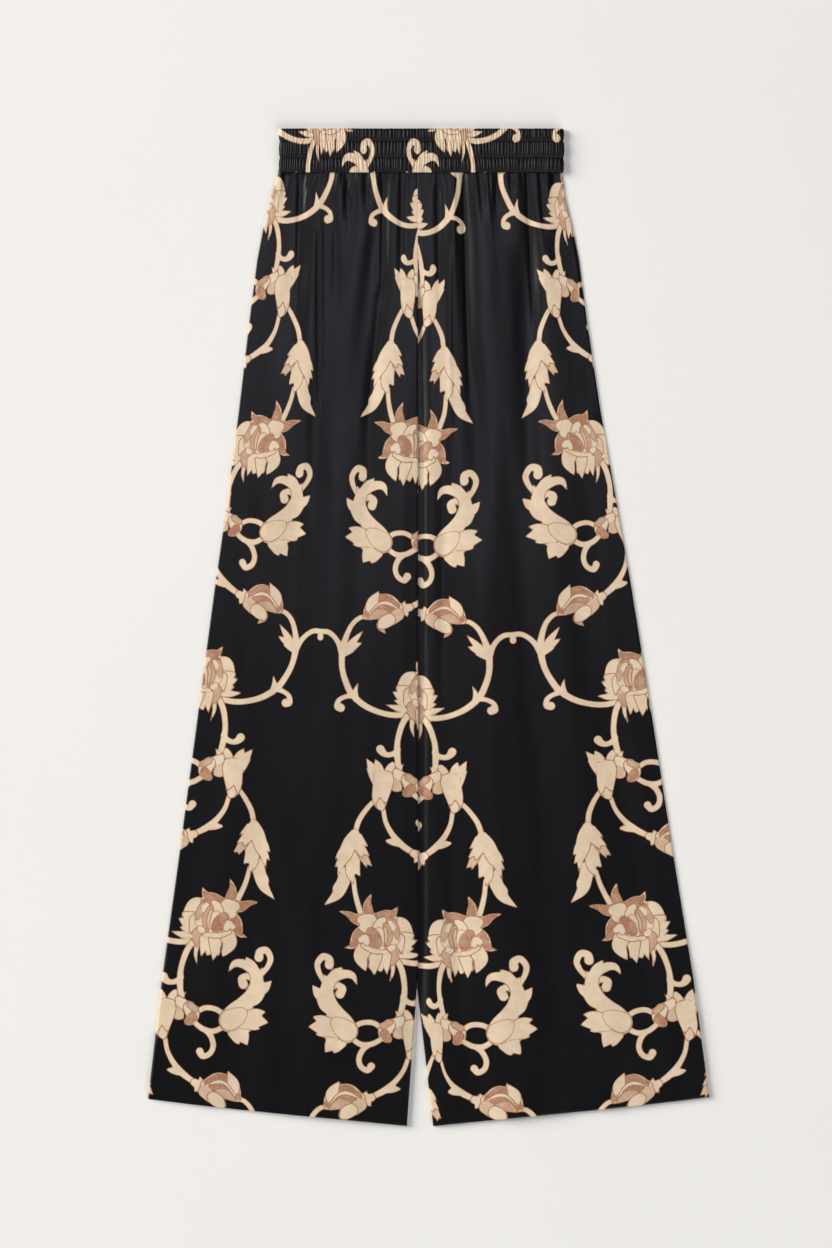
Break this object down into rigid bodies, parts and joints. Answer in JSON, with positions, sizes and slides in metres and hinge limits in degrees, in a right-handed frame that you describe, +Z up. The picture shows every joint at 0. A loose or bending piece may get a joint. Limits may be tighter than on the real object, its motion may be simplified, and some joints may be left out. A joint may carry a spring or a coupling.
{
  "type": "palazzo pants",
  "caption": "Wide-leg pull-on trousers in dark silk with a scrolling floral print and a ruched elastic waistband, laid flat.",
  "frame": {"origin": "middle of the bounding box, on the surface that the trousers lie on", "axes": "+Y from the hems to the waist, +X to the viewer's right looking down at the front, +Z up from the surface"},
  "size_m": [0.5969, 1.06, 0.0081],
  "materials": {
    "leg_cloth": "satin",
    "waistband_cloth": "satin",
    "hem_cloth": "satin"
  },
  "bodies": {
    "root": {"waistband": "waistband_cloth", "front_left": "leg_cloth", "front_right": "leg_cloth", "back_left": "leg_cloth", "back_right": "leg_cloth", "hem_front_left": "hem_cloth", "hem_front_right": "hem_cloth", "hem_back_left": "hem_cloth", "hem_back_right": "hem_cloth"}
  },
  "joints": []
}
